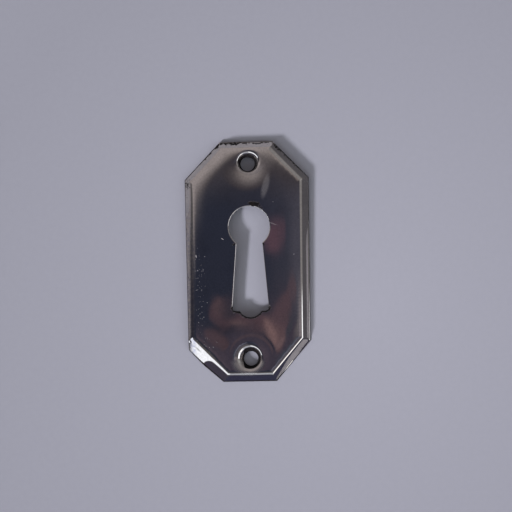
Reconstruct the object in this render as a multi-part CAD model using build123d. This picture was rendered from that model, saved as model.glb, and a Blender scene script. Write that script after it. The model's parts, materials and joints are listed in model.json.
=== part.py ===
from build123d import *
import os
from math import cos, radians, sin, sqrt, tan

# Keyhole escutcheon pressed from one piece of thin plated sheet
#
# The plate is a long octagon that lies face up. Its edge is pressed down all round into a bevelled
# skirt, and the rim of the skirt stands on the door or drawer front, so the back is hollow. A
# keyhole is pierced through the middle, and a dimpled screw hole is pressed into each end.
#
# Millimetres and degrees. +Z points out of the face and +Y towards the round head of the keyhole.
# The origin is the centre of the plane that the rim stands on.

# Plate
plate_length = 50.0
plate_width = 25.6
corner_cut_across = 7.25
corner_cut_along = 7.75
plate_height = 1.6
sheet = 0.5

# Skirt: its slope from the horizontal, and the inside radius of its bend into the face
skirt_slope = 45.0
skirt_bend_inside = 0.3

# Screw holes: each is the bottom of a dimple, which stops just short of the surface behind
screw_hole_diameter = 3.0
dimple_slope = 45.0
dimple_bend_inside = 0.3
dimple_foot_clearance = 0.1
dimple_to_skirt_bend = 0.2

# Keyhole: round head, slot that widens towards its foot, and a rounded lobe in the foot
keyhole_length = 23.0
head_diameter = 8.6
neck_width = 5.4
foot_width = 7.7
foot_corner_radius = 0.7
lobe_radius = 2.5
lobe_depth = 1.15
lobe_shoulder_radius = 0.6

# Skirt sizes that follow from the driving ones
skirt_angle = radians(skirt_slope)
skirt_bend_outside = skirt_bend_inside + sheet
rim_width = sheet / sin(skirt_angle)
skirt_run = plate_height / tan(skirt_angle)
flat_face_inset = skirt_run + skirt_bend_outside * tan(skirt_angle / 2)

# Dimple sizes that follow: the wall is as deep as the hollow behind the face allows
dimple_angle = radians(dimple_slope)
dimple_bend_outside = dimple_bend_inside + sheet
dimple_bend_drop = dimple_bend_outside * (1 - cos(dimple_angle))
screw_wall_height = sheet / cos(dimple_angle)
dimple_wall_drop = plate_height - dimple_bend_drop - screw_wall_height - dimple_foot_clearance
dimple_wall_run = dimple_wall_drop / tan(dimple_angle)
dimple_mouth_radius = screw_hole_diameter / 2 + dimple_wall_run + dimple_bend_outside * sin(dimple_angle)
screw_from_centre = plate_length / 2 - flat_face_inset - dimple_to_skirt_bend - dimple_mouth_radius


def octagon(inset):
    """The plate's outline, moved inwards by a distance."""
    half_width = plate_width / 2
    half_length = plate_length / 2
    quarter = [
        (half_width, half_length - corner_cut_along),
        (half_width - corner_cut_across, half_length),
    ]
    right = [(x, -y) for x, y in reversed(quarter)] + quarter
    left = [(-x, -y) for x, y in right]
    outline = make_face(Polyline(*right, *left, close=True))
    return offset(outline, -inset, kind=Kind.INTERSECTION) if inset else outline


def pressed_block(inset, height, bend_radius):
    """A solid block of the pressed form: sloping sides, rounded into a flat top."""
    block = extrude(octagon(inset), amount=height, taper=90 - skirt_slope)
    top_edges = block.faces().sort_by(Axis.Z)[-1].edges()
    return fillet(top_edges, bend_radius)


def pressed_shell():
    """The plate before it is pierced: an even thickness of sheet, open at the back."""
    front = pressed_block(0, plate_height, skirt_bend_outside)
    hollow = pressed_block(rim_width, plate_height - sheet, skirt_bend_inside)
    return front - hollow


def dimple_surface(bend_radius):
    """One side of the dimple's sheet, from its mouth round the bend and down the wall to the hole."""
    bend_centre_z = plate_height - dimple_bend_outside

    def on_bend(share):
        angle = share * dimple_angle
        return (dimple_mouth_radius - bend_radius * sin(angle), bend_centre_z + bend_radius * cos(angle))

    mouth, middle, bend_end = on_bend(0), on_bend(0.5), on_bend(1)
    hole_radius = screw_hole_diameter / 2
    hole_edge = (hole_radius, bend_end[1] - (bend_end[0] - hole_radius) * tan(dimple_angle))
    line = ThreePointArc(mouth, middle, bend_end) + Line(bend_end, hole_edge)
    return line, mouth, hole_edge


def dimple():
    """The dimple's sheet, turned about the screw's axis, which is put at the origin."""
    front, front_mouth, front_hole_edge = dimple_surface(dimple_bend_outside)
    back, back_mouth, back_hole_edge = dimple_surface(dimple_bend_inside)
    joint_with_face = Line(front_mouth, back_mouth)
    screw_wall = Line(front_hole_edge, back_hole_edge)
    section = make_face(front + screw_wall + back + joint_with_face)
    return revolve(Plane.XZ * section, axis=Axis.Z)


def keyhole_outline():
    """The keyhole, centred on the plate."""
    head_radius = head_diameter / 2
    head_y = keyhole_length / 2 - head_radius
    foot_y = lobe_depth - keyhole_length / 2
    neck_y = head_y - sqrt(head_radius**2 - (neck_width / 2) ** 2)
    flare = (foot_width - neck_width) / (neck_y - foot_y)
    width_at_head = neck_width - flare * (head_y - neck_y)

    slot = make_face(
        Polyline(
            (-width_at_head / 2, head_y),
            (-foot_width / 2, foot_y),
            (foot_width / 2, foot_y),
            (width_at_head / 2, head_y),
            close=True,
        )
    )
    lobe = Pos(0, lobe_radius - keyhole_length / 2) * Circle(lobe_radius)

    def corners_on_foot(shape):
        on_foot = [corner for corner in shape.vertices() if abs(corner.Y - foot_y) < 1e-6]
        return sorted(on_foot, key=lambda corner: abs(corner.X))

    foot = fillet(corners_on_foot(slot + lobe)[-2:], foot_corner_radius)
    foot = fillet(corners_on_foot(foot)[:2], lobe_shoulder_radius)
    return foot + Pos(0, head_y) * Circle(head_radius)


def escutcheon_plate():
    """The whole plate: the pressed shell, a dimple at each end and the pierced keyhole."""
    plate = pressed_shell()
    for end in (1, -1):
        at_screw = Pos(0, end * screw_from_centre)
        plate -= at_screw * Cylinder(dimple_mouth_radius, 4 * plate_height)
        plate += at_screw * dimple()
    return plate - extrude(keyhole_outline(), amount=2 * plate_height)


os.makedirs("parts", exist_ok=True)
export_step(escutcheon_plate(), "parts/escutcheon_plate.step")
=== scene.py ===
"""Dresses a pressed keyhole escutcheon: its worn plated sheet, and a plain stage to see it on."""

import json
import math

import bpy
import numpy as np
from bpy.props import FloatProperty, FloatVectorProperty, IntProperty, PointerProperty
from mathutils import Matrix, Vector
from mathutils.geometry import delaunay_2d_cdt


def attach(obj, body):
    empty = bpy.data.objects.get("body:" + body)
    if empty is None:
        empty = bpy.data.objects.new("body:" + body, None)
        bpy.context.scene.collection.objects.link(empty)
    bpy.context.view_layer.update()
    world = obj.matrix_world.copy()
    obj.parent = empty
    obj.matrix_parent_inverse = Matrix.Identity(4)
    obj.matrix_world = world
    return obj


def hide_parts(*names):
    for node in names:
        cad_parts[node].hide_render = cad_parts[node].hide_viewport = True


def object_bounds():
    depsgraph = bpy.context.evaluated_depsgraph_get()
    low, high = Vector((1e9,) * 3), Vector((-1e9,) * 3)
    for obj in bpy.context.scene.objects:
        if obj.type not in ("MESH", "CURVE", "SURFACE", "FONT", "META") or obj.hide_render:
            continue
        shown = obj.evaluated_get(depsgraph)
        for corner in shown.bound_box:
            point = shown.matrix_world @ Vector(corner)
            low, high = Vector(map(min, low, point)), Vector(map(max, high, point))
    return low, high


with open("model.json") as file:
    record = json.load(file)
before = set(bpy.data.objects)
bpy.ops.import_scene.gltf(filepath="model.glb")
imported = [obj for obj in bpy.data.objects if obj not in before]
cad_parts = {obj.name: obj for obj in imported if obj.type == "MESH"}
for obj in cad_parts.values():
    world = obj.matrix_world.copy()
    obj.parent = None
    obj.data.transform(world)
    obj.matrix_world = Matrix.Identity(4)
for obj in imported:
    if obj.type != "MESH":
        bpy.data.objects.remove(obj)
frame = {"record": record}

bl_info = {
    "name": "Keyhole escutcheon",
    "version": (1, 0, 0),
    "blender": (4, 5, 0),
    "location": "3D View > Sidebar > Escutcheon",
    "description": "Presses a worn plated keyhole plate from a flat blank and sets it on a plain stage",
    "category": "Object",
}

PLATE_NODE = "escutcheon_plate"
BODY = "root"
MM = 0.001
CAD_LOW, CAD_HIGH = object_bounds()
CAD_SIZE = CAD_HIGH - CAD_LOW
MOUNTS = {mount["name"]: mount for mount in frame["record"]["mounts"]}
SCREW_SPACING = MOUNTS["screw_holes"]["dims"]["spacing_y_mm"] * MM
SCREW_RADIUS = MOUNTS["screw_holes"]["dims"]["hole_r_mm"] * MM
KEYHOLE_HEAD = MOUNTS["keyhole_head"]


def length(name, description, default):
    """A length that a user may change."""
    return FloatProperty(name=name, description=description, default=default, precision=5, unit="LENGTH")


def angle(name, description, degrees):
    """An angle that a user may change."""
    turn = math.radians(degrees)
    return FloatProperty(name=name, description=description, default=turn, subtype="ANGLE")


def share(name, description, default):
    """A number from 0 to 1 that a user may change."""
    limits = {"min": 0, "max": 1}
    return FloatProperty(name=name, description=description, default=default, subtype="FACTOR", **limits)


def several(name, description, default, **kind):
    """A few numbers that a user may change together."""
    return FloatVectorProperty(
        name=name, description=description, default=default, size=len(default), **kind
    )


def colour(name, description, default):
    """A colour that a user may change."""
    return several(name, description, default, min=0, max=1, subtype="COLOR")


class PlateSizes(bpy.types.PropertyGroup):
    """Sizes of the flat blank and of the form that it is pressed to."""

    width: length("Width", "Across the plate", CAD_SIZE.x)
    length: length("Length", "Along the plate", CAD_SIZE.y)
    height: length("Height", "From the rim to the face", CAD_SIZE.z)
    sheet: length("Sheet", "Thickness of the metal", 0.5 * MM)
    corner_across: length("Corner cut across", "Corner cut, measured across the plate", 7.25 * MM)
    corner_along: length("Corner cut along", "Corner cut, measured along the plate", 7.75 * MM)
    taper: length("Taper", "How far the sides spread at the top and close at the foot", 0.18 * MM)
    skew: length("Skew", "How far the lower side corners sit out of line", 0.42 * MM)
    trim: length("Trim", "How much is cut off the left skirt at its lower end", 0.65 * MM)
    ease_head: several(
        "Ease at the head",
        "How much flatter each side of the skirt is near the upper end, from the right side round",
        (-0.01, 0.13, -0.12, -0.01, 0, 0, 0.05, -0.05),
    )
    ease_foot: several(
        "Ease at the foot",
        "How much flatter each side of the skirt is near the lower end, from the right side round",
        (-0.065, 0.13, -0.12, -0.01, 0.19, 0, 0.05, -0.05),
    )
    dent: share("Dent", "How much flatter the lower left corner is where it was knocked", 0.10)
    twist: share("Twist", "How much steeper the lower right skirt is at its upper end", 0.075)
    widen: length("Widen", "How much wider the knocked skirt is", 0.44 * MM)
    bow: length("Bow", "How far the rim of the knocked corner is pushed out", 0.25 * MM)
    knock: length("Knock", "Depth of the knock in the lower left skirt", 0.026 * MM)
    drop: length("Drop", "How far the lower left corner sits low", 0.6 * MM)
    lift: length("Lift", "How far the upper right corner stands off the floor", 0.65 * MM)

    skirt_slope: angle("Skirt slope", "Slope of the bevelled skirt", 43.5)
    bulge: length("Bulge", "How far the skirt bulges outwards", 0.018 * MM)
    bend: length("Bend", "Softness of the bend between skirt and face", 0.5 * MM)
    mitre: length("Mitre", "Softness of the mitred corners", 0.25 * MM)
    soft_mitre: length("Soft mitre", "Softness of the corners in the crown of the face", 4.0 * MM)
    crown: length("Crown", "How far the face drops towards its edge", 0.10 * MM)
    crown_reach: length("Crown reach", "How far in from the rim the face is still sloped", 5.0 * MM)
    soft_corner: length("Soft corner", "Extra drop at the upper left corner", 0.16 * MM)
    soft_reach: length("Soft reach", "Extra reach of the slope at the upper left corner", -0.8 * MM)
    waviness: length("Waviness", "Depth of the face's slow waves", 0.02 * MM)

    screw_radius: length("Screw hole", "Radius of the screw holes", SCREW_RADIUS)
    screw_spacing: length("Screw spacing", "Between the screw holes", SCREW_SPACING)
    dimple_slope: angle("Dimple slope", "Slope of the dimple's wall", 57)
    dimple_lip: length("Dimple lip", "Height of the hole's upper edge over the rim", 0.45 * MM)
    dimple_bend: length("Dimple bend", "Softness of the dimple's mouth", 0.8 * MM)
    dish: length("Dish", "How far the face sinks round a dimple", 0.12 * MM)
    dish_reach: length("Dish reach", "How far from the screw the face still sinks", 6.5 * MM)
    lean: several(
        "Lean",
        "How far the mouth of the upper dimple sits off its hole",
        (0.15 * MM, 0.30 * MM),
        unit="LENGTH",
    )
    lean_foot: several(
        "Lean at the foot",
        "How far the mouth of the lower dimple sits off its hole",
        (-0.22 * MM, 0.08 * MM),
        unit="LENGTH",
    )
    splay: length("Splay", "How much wider the mouth of the lower dimple is all round", 0.2 * MM)
    screw_right: length("Screws right", "How far the screw holes sit to the right", 0.3 * MM)
    keyhole_right: length("Keyhole right", "How far the keyhole sits to the right", 0.45 * MM)
    keyhole_down: length("Keyhole down", "How far the keyhole sits low", 0.17 * MM)

    head_radius: length("Keyhole head", "Radius of the keyhole's head", KEYHOLE_HEAD["dims"]["r_mm"] * MM)
    head_centre: length("Head centre", "Keyhole head, above the middle", KEYHOLE_HEAD["pos_m"][1])
    keyhole_length: length("Keyhole length", "Length of the keyhole", 23.15 * MM)
    neck_width: length("Neck width", "Width where the slot leaves the head", 5.4 * MM)
    foot_width: length("Foot width", "Width of the slot's foot", 7.7 * MM)
    foot_corner: length("Foot corner", "Corner radius of the foot", 0.7 * MM)
    lobe_radius: length("Lobe radius", "Radius of the lobe in the foot", 2.5 * MM)
    lobe_depth: length("Lobe depth", "Depth of the lobe in the foot", 1.3 * MM)
    lobe_shoulder: length("Lobe shoulder", "Radius between foot and lobe", 0.6 * MM)
    edge_roll: length("Edge roll", "Width of the rounding that the punch left", 0.14 * MM)


class PlatingFinish(bpy.types.PropertyGroup):
    """Colours and wear of the plating."""

    plating: colour("Plating", "Bright plating", (0.65, 0.60, 0.54))
    # The oxide colour is also painted as shade along the rim's edge and on the dimples' walls
    oxide: colour("Oxide", "Rust and dirt where the plating is lost", (0.010, 0.009, 0.009))
    rust: colour("Rust", "Thicker rust between the dark patches", (0.034, 0.023, 0.018))
    stain: colour("Stain", "Dull stain on the left of the skirt", (0.42, 0.40, 0.43))
    # Pale tone of the pits: partly their corrosion, partly a painted highlight for the glints they catch
    pit_tone_and_painted_glint: colour("Bare", "Pale corrosion in the pits", (0.70, 0.67, 0.67))
    back: colour("Back", "Dull sheet behind the face", (0.30, 0.27, 0.235))
    roughness: share("Roughness", "Roughness of the clean plating", 0.025)
    flake_density: FloatProperty(name="Flakes", description="Flakes for each square metre", default=6e7)
    flake_size: length("Flake size", "Largest flake of oxide, from its middle", 0.11 * MM)
    flake_band: length("Flake band", "How far in from the rim the flakes reach", 0.5 * MM)
    burr_radius: length("Burr radius", "Thickness of the burr along the keyhole", 0.05 * MM)
    burr_jitter: length("Burr jitter", "How ragged the burr is", 0.12 * MM)
    seed: IntProperty(name="Seed", description="Starts the random wear", default=7)


class StageSettings(bpy.types.PropertyGroup):
    """Floor, lamp and camera."""

    floor: colour("Floor", "Plain floor", (0.421, 0.415, 0.430))
    camera_height: length("Camera height", "Camera above the floor", 300 * MM)
    camera_right: length("Camera right", "Camera to the right of the plate", 18 * MM)
    camera_down: length("Camera down", "Camera below the middle of the plate", 21 * MM)
    aim_right: length("Aim right", "Middle of the picture, right of the plate's middle", 1.67 * MM)
    aim_up: length("Aim up", "Middle of the picture, above the plate's middle", 1.03 * MM)
    roll: angle("Roll", "Turn of the camera about its view", 1.08)
    field: length("Field", "Width of floor in the picture", 106.8 * MM)
    key_azimuth: angle("Key azimuth", "Direction of the key lamp, from +X", 225)
    key_elevation: angle("Key elevation", "Height of the key lamp", 25.5)
    key_power: FloatProperty(name="Key power", description="Power of the key lamp in watts", default=96.0)


# Small helpers for node trees


class TreeMaker:
    """Adds nodes to one tree. Inputs may be numbers, vectors, colours or other nodes' sockets."""

    def __init__(self, tree):
        self.tree = tree

    def feed(self, socket, value):
        """Links a socket or sets its value."""
        if isinstance(value, bpy.types.NodeSocket):
            self.tree.links.new(value, socket)
        elif socket.type == "RGBA":
            socket.default_value = (*value, 1.0)
        else:
            socket.default_value = value

    def node(self, kind, feeds=None, **settings):
        """A new node, with its settings and what its inputs are fed."""
        made = self.tree.nodes.new(kind)
        for name, value in settings.items():
            setattr(made, name, value)
        for key, value in (feeds or {}).items():
            found = made.inputs[key] if isinstance(key, int) else self.find(made.inputs, key)
            self.feed(found, value)
        return made

    @staticmethod
    def find(sockets, key):
        """The socket with an identifier, or else with a name."""
        for socket in sockets:
            if socket.identifier == key:
                return socket
        return sockets[key]

    def math(self, operation, *values):
        return self.node("ShaderNodeMath", dict(enumerate(values)), operation=operation).outputs[0]

    def plus(self, first, second):
        return self.math("ADD", first, second)

    def minus(self, first, second):
        return self.math("SUBTRACT", first, second)

    def times(self, first, second):
        return self.math("MULTIPLY", first, second)

    def times_plus(self, first, second, added):
        return self.math("MULTIPLY_ADD", first, second, added)

    def larger(self, first, second):
        return self.math("MAXIMUM", first, second)

    def vector(self, operation, *values):
        made = self.node("ShaderNodeVectorMath", dict(enumerate(values)), operation=operation)
        return made.outputs["Value" if operation in ("DOT_PRODUCT", "LENGTH", "DISTANCE") else "Vector"]

    def parts(self, vector):
        """A vector's X, Y and Z."""
        return self.node("ShaderNodeSeparateXYZ", {"Vector": vector}).outputs

    def turned(self, vector, degrees):
        """A vector turned about Z."""
        feeds = {"Vector": vector, "Angle": math.radians(degrees)}
        return self.node("ShaderNodeVectorRotate", feeds, rotation_type="Z_AXIS").outputs[0]

    def ellipse(self, vector, centre, half, turn):
        """Distance from the middle of a turned ellipse, which is 1 at its edge."""
        moved = self.turned(self.vector("SUBTRACT", vector, (*centre, 0)), -turn)
        return self.vector("LENGTH", self.vector("MULTIPLY", moved, (1 / half[0], 1 / half[1], 0)))

    def ramp(self, value, start, end, low=0.0, high=1.0, smooth=True):
        """Goes from low to high while a value goes from start to end."""
        feeds = {"Value": value, "From Min": start, "From Max": end, "To Min": low, "To Max": high}
        kind = "SMOOTHSTEP" if smooth else "LINEAR"
        return self.node("ShaderNodeMapRange", feeds, interpolation_type=kind, clamp=True).outputs["Result"]

    def mix(self, factor, first, second):
        """From one colour to another."""
        feeds = {"Factor_Float": factor, "A_Color": first, "B_Color": second}
        made = self.node("ShaderNodeMix", feeds, data_type="RGBA", clamp_factor=True)
        return self.find(made.outputs, "Result_Color")

    def blend(self, factor, first, second):
        """From one number to another."""
        feeds = {"Factor_Float": factor, "A_Float": first, "B_Float": second}
        made = self.node("ShaderNodeMix", feeds, data_type="FLOAT", clamp_factor=True)
        return self.find(made.outputs, "Result_Float")

    def noise(self, position, scale, detail=2.0, roughness=0.5, seed=0.0):
        """A random number from 0 to 1 at each place."""
        feeds = {"Vector": position, "W": seed, "Scale": scale, "Detail": detail, "Roughness": roughness}
        made = self.node("ShaderNodeTexNoise", feeds, noise_dimensions="4D", normalize=True)
        return self.find(made.outputs, "Fac")

    def shake(self, position, scale, detail=1.0):
        """A random vector at each place, with parts from -0.5 to 0.5."""
        feeds = {"Vector": position, "Scale": scale, "Detail": detail}
        drawn = self.node("ShaderNodeTexNoise", feeds, noise_dimensions="3D").outputs["Color"]
        return self.vector("SUBTRACT", drawn, (0.5, 0.5, 0.5))

    def position(self):
        """The place of each point in a geometry tree."""
        return self.node("GeometryNodeInputPosition").outputs["Position"]

    def attribute(self, name):
        """A number that each point of a mesh holds, in a geometry tree."""
        made = self.node("GeometryNodeInputNamedAttribute", {"Name": name}, data_type="FLOAT")
        return made.outputs["Attribute"]


def geometry_tree(title, sockets):
    """A new geometry tree's maker, and its inputs: the geometry and the named ones."""
    tree = bpy.data.node_groups.new(title, "GeometryNodeTree")
    tree.interface.new_socket("Geometry", in_out="OUTPUT", socket_type="NodeSocketGeometry")
    tree.interface.new_socket("Geometry", in_out="INPUT", socket_type="NodeSocketGeometry")
    for name, kind in sockets.items():
        tree.interface.new_socket(name, in_out="INPUT", socket_type="NodeSocket" + kind)
    maker = TreeMaker(tree)
    return maker, maker.node("NodeGroupInput").outputs


def finish_tree(maker, geometry, material):
    """Ends a geometry tree with real geometry and its material."""
    real = maker.node("GeometryNodeRealizeInstances", {"Geometry": geometry}).outputs[0]
    dressed = maker.node("GeometryNodeSetMaterial", {"Geometry": real, "Material": material}).outputs[0]
    maker.node("NodeGroupOutput", {"Geometry": dressed})
    return maker.tree


def darker(rgb, kept):
    """A colour that keeps only a share of its light."""
    return tuple(kept * tone for tone in rgb)


def new_object(name, data):
    """A scene object at the origin for a mesh, a lamp or a camera."""
    made = bpy.data.objects.new(name, data)
    bpy.context.scene.collection.objects.link(made)
    return made


def declare(piece, node=None):
    """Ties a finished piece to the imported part."""
    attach(piece, BODY)
    if node:
        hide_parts(node)


# The flat blank, with its outline, keyhole and screw holes


def smooth_min(first, second, reach):
    """The lesser of two distances, rounded where they cross."""
    overlap = np.maximum(reach - np.abs(first - second), 0) / reach
    return np.minimum(first, second) - overlap**3 * reach / 6


def smooth_step(values, start, end):
    """Rises smoothly from 0 to 1 between two values."""
    share_done = np.clip((values - start) / (end - start), 0, 1)
    return share_done**2 * (3 - 2 * share_done)


# How much of the plate's tilt is along it, the rest being across it
TILT_ALONG = 0.8
# The knock in the lower left skirt: its middle, its half sizes, and the way it runs
KNOCK_PLACE = np.array([-10.74, -18.47]) * MM
KNOCK_LENGTH = 1.0 * MM
KNOCK_WIDTH = 0.42 * MM
KNOCK_ALONG = np.array([0.724, -0.69])
KNOCK_ACROSS = np.array([0.69, 0.724])


def rise(points, sizes):
    """How far the tilted plate stands off the surface, most of all at its upper right corner."""
    along = np.clip(points[:, 1] / sizes.length + 0.5, 0, 1)
    across = np.clip(points[:, 0] / sizes.width + 0.5, 0, 1)
    return sizes.lift * (TILT_ALONG * along + (1 - TILT_ALONG) * across)


def knock(points, sizes):
    """Depth of the knock in the skirt at the lower left corner."""
    along = (points - KNOCK_PLACE) @ KNOCK_ALONG / KNOCK_LENGTH
    across = (points - KNOCK_PLACE) @ KNOCK_ACROSS / KNOCK_WIDTH
    return sizes.knock * np.exp(-(along**2) - across**2)


def outline_corners(sizes):
    """Corners of the outline, counter-clockwise from the right side's lower end."""
    half_width, half_length = sizes.width / 2, sizes.length / 2
    side_top = half_length - sizes.corner_along
    end_side = half_width - sizes.corner_across
    return np.array(
        [
            (half_width - sizes.taper, sizes.skew - side_top),
            (half_width + sizes.taper, side_top),
            (end_side, half_length),
            (-end_side, half_length),
            (-half_width - sizes.taper, side_top),
            (sizes.taper - half_width, -sizes.skew - sizes.drop - side_top),
            (-end_side, -half_length),
            (end_side, -half_length),
        ]
    )


class Outline:
    """The plate's outline: how far a point lies inside it, and loops at a distance from it."""

    corner_steps = np.array([0, 0.04, 0.1, 0.18, 0.3, 0.5, 0.75]) * MM
    side_step = 0.25 * MM
    hair = 0.001 * MM

    # Sides by number, counter-clockwise from the right one
    left = 4
    dented = 5
    twisted = 7

    # Stretches along the plate, as shares of its length from the middle
    head_stretch = (0.04, 0.3)
    twisted_stretch = (-0.52, -0.34)

    # Places on the knocked side, as shares of its length
    dent_start = (-0.25, 0.03)
    dent_end = 0.44
    dent_end_lean = 0.1
    dent_softness = 0.03
    bow_peak = 0.47

    # Share of the extra width that is lost along the knocked side
    widen_loss = 0.38

    def __init__(self, sizes):
        self.sizes = sizes
        self.corners = outline_corners(sizes)
        along = np.roll(self.corners, -1, axis=0) - self.corners
        self.lengths = np.linalg.norm(along, axis=1)
        self.along = along / self.lengths[:, None]
        self.inward = np.column_stack([-self.along[:, 1], self.along[:, 0]])
        self.skirt_run = sizes.height / math.tan(sizes.skirt_slope)

    def to_sides(self, points):
        """How far points lie in from each straight side of the rim."""
        return ((points[:, None] - self.corners) * self.inward).sum(axis=2)

    def place_along(self, side, points):
        """How far along a side points lie, as a share of its length."""
        return (points - self.corners[side]) @ self.along[side] / self.lengths[side]

    def eased(self, points, sides):
        """How much flatter each side of the skirt is at each point, and how much wider the knocked one."""
        sizes = self.sizes
        height = points[:, 1] / sizes.length
        foot, head = np.array(sizes.ease_foot), np.array(sizes.ease_head)
        ease = foot + (head - foot) * smooth_step(height, *self.head_stretch)[:, None]
        ease[:, self.twisted] -= sizes.twist * smooth_step(height, *self.twisted_stretch)

        place = self.place_along(self.dented, points)
        inner = np.clip(sides[:, self.dented] / self.skirt_run, 0, 1)
        end = self.dent_end + self.dent_end_lean * inner**2
        flat = smooth_step(end - place, -self.dent_softness, self.dent_softness)
        flat *= smooth_step(place, *self.dent_start)
        wider = sizes.widen * (1 - self.widen_loss * np.clip(place, 0, 1))
        pushed = sizes.bow * self.bow_shape(place)
        ease[:, self.dented] += sizes.dent * flat + (wider + pushed) / (self.skirt_run + pushed)
        return ease, wider

    def distance(self, points, softness=None):
        """Distance in from where the rim was before the skirt was eased and its left side trimmed."""
        sides = self.to_sides(points)
        ease, wider = self.eased(points, sides)
        down = (self.corners[self.left, 1] - points[:, 1]) / self.lengths[self.left]
        sides = sides * (1 - ease) + self.skirt_run * ease
        sides[:, self.left] += self.sizes.trim * np.clip(down, 0, 1)
        sides[:, self.dented] -= wider
        nearest = sides[:, 0]
        for side in sides.T[1:]:
            nearest = smooth_min(nearest, side, softness or self.sizes.mitre)
        return nearest

    def bow_shape(self, place):
        """How much of the bow there is along the knocked side, most of all near its middle."""
        return np.clip(np.minimum(place / self.bow_peak, (1 - place) / (1 - self.bow_peak)), 0, 1)

    def bowed(self, rim):
        """The rim with its knocked side pushed out to a blunt corner near its middle."""
        side = self.dented
        on_side = np.abs(self.to_sides(rim)[:, side]) < self.hair
        pushed = self.sizes.bow * self.bow_shape(self.place_along(side, rim)) * on_side
        return rim - pushed[:, None] * self.inward[side]

    def inset_corners(self, inset):
        """Corners of the outline, moved inwards by a distance."""
        offsets = (self.corners * self.inward).sum(axis=1) + inset
        moved = []
        for side in range(len(self.corners)):
            pair = [side - 1, side]
            moved.append(np.linalg.solve(self.inward[pair], offsets[pair]))
        return np.array(moved)

    def side_shares(self, side_length):
        """Places of the points on a side, closer together near its corners."""
        middle = side_length - 2 * self.corner_steps[-1]
        count = max(2, round(middle / self.side_step))
        inner = self.corner_steps[-1] + middle * np.arange(1, count) / count
        steps = np.concatenate([self.corner_steps, inner, side_length - self.corner_steps[:0:-1]])
        return steps / side_length

    def spread(self, corners):
        """A loop of points through the corners."""
        sides = []
        for side, side_length in enumerate(self.lengths):
            start, end = corners[side], corners[(side + 1) % len(corners)]
            sides.append(start + self.side_shares(side_length)[:, None] * (end - start))
        return np.concatenate(sides)

    def loops(self, insets, full):
        """Loops from the cut rim in to the face, evenly shared where the skirt was trimmed."""
        rim = self.bowed(self.spread(self.corners))
        cut = self.distance(rim)
        made = [rim]
        for inset in insets[1:]:
            level = np.where(inset < full, cut + (full - cut) * inset / full, inset)
            points = self.spread(self.inset_corners(inset))
            for _ in range(8):
                points -= (self.distance(points) - level)[:, None] * self.gradient(points)
            made.append(points)
        return made

    def gradient(self, points):
        """The way straight in from the rim, at each point."""
        across, along = np.array([self.hair, 0]), np.array([0, self.hair])
        slope = [self.distance(points + step) - self.distance(points - step) for step in (across, along)]
        slope = np.column_stack(slope)
        return slope / np.linalg.norm(slope, axis=1, keepdims=True)


def arc(centre, radius, start, end, step):
    """Points on an arc, without its last one."""
    count = max(3, math.ceil(abs(end - start) * radius / step))
    turn = np.linspace(start, end, count, endpoint=False)
    return np.asarray(centre) + radius * np.column_stack([np.cos(turn), np.sin(turn)])


def straight(start, end, step):
    """Points on a line, without its last one."""
    start, end = np.asarray(start), np.asarray(end)
    count = max(2, math.ceil(np.linalg.norm(end - start) / step))
    return start + np.linspace(0, 1, count, endpoint=False)[:, None] * (end - start)


def bearing(start, end):
    """Direction from one point to another, as an angle."""
    return math.atan2(end[1] - start[1], end[0] - start[0])


def keyhole_loop(sizes):
    """The keyhole's edge, clockwise from the top of its head."""
    step = 0.22 * MM
    head = np.array([0, sizes.head_centre])
    neck = np.array([sizes.neck_width / 2, 0])
    neck[1] = head[1] - math.sqrt(sizes.head_radius**2 - neck[0] ** 2)
    bottom = sizes.head_centre + sizes.head_radius - sizes.keyhole_length
    foot = np.array([sizes.foot_width / 2, bottom + sizes.lobe_depth])

    up_side = (neck - foot) / np.linalg.norm(neck - foot)
    half_corner = math.acos(-up_side[0]) / 2
    tangent = sizes.foot_corner / math.tan(half_corner)
    corner = foot + np.array([-tangent, sizes.foot_corner])
    corner_start = foot + up_side * tangent

    lobe = np.array([0, bottom + sizes.lobe_radius])
    shoulder_y = foot[1] - sizes.lobe_shoulder
    reach = sizes.lobe_radius + sizes.lobe_shoulder
    shoulder = np.array([math.sqrt(reach**2 - (shoulder_y - lobe[1]) ** 2), shoulder_y])
    to_shoulder = bearing(lobe, shoulder)
    quarter = math.pi / 2

    right = np.concatenate(
        [
            arc(head, sizes.head_radius, quarter, bearing(head, neck), step),
            straight(neck, corner_start, step),
            arc(corner, sizes.foot_corner, bearing(corner, corner_start), -quarter, step),
            straight((corner[0], foot[1]), (shoulder[0], foot[1]), step),
            arc(shoulder, sizes.lobe_shoulder, quarter, to_shoulder + math.pi, step),
            arc(lobe, sizes.lobe_radius, to_shoulder, -quarter, step),
        ]
    )
    last = np.array([[0, bottom]])
    left = right[:0:-1] * (-1, 1)
    return np.concatenate([right, last, left]) + (sizes.keyhole_right, -sizes.keyhole_down)


def loop_normals(loop):
    """Directions to the left of a loop's way round, at each of its points."""
    along = np.roll(loop, -1, axis=0) - np.roll(loop, 1, axis=0)
    along /= np.linalg.norm(along, axis=1, keepdims=True)
    return np.column_stack([-along[:, 1], along[:, 0]])


def distance_to_loop(points, loop):
    """How far points lie from a closed loop of straight steps."""
    nearest = np.full(len(points), np.inf)
    for start, end in zip(loop, np.roll(loop, -1, axis=0)):
        along = end - start
        place = np.clip((points - start) @ along / (along @ along), 0, 1)
        gap = np.linalg.norm(points - start - place[:, None] * along, axis=1)
        nearest = np.minimum(nearest, gap)
    return nearest


def inside_loop(points, loop):
    """Which points lie inside a closed loop of straight steps."""
    crossings = np.zeros(len(points), int)
    for start, end in zip(loop, np.roll(loop, -1, axis=0)):
        spans = (start[1] > points[:, 1]) != (end[1] > points[:, 1])
        climb = end[1] - start[1]
        if climb:
            crossing = start[0] + (points[:, 1] - start[1]) * (end[0] - start[0]) / climb
            crossings += spans & (points[:, 0] < crossing)
    return crossings % 2 == 1


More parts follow.
